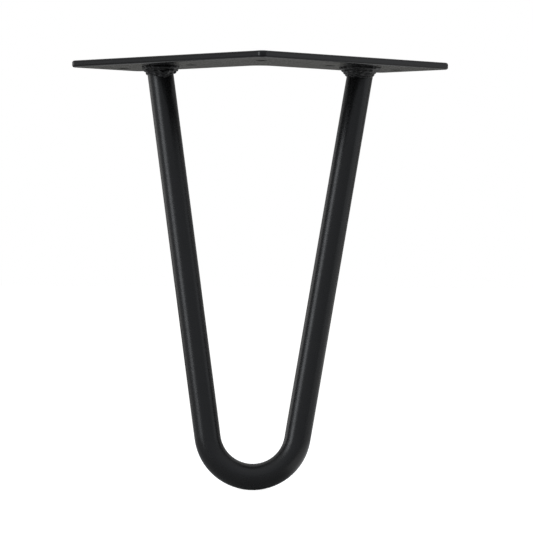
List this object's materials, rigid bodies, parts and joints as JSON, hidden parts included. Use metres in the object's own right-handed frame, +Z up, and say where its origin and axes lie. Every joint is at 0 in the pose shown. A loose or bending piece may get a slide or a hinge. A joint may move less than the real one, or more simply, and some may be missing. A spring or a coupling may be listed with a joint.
{
  "type": "hairpin table leg",
  "caption": "Short hairpin table leg: a round bar bent into a U, welded at both ends under an L-shaped plate that screws to a table top's corner.",
  "frame": {"origin": "centre of the corner screw hole, on the plate's mounting face", "axes": "+Z up out of the mounting face into the table top, -Y towards the plate's outer corner, +X to the right when that corner points at the viewer; the foot hangs down along -Z"},
  "size_m": [0.1776, 0.1201, 0.2],
  "materials": {
    "powder_coat": "satin black powder coat over steel"
  },
  "bodies": {
    "root": {"mounting_plate": "powder_coat", "hairpin_rod": "powder_coat", "left_weld": "powder_coat", "right_weld": "powder_coat"}
  },
  "joints": []
}
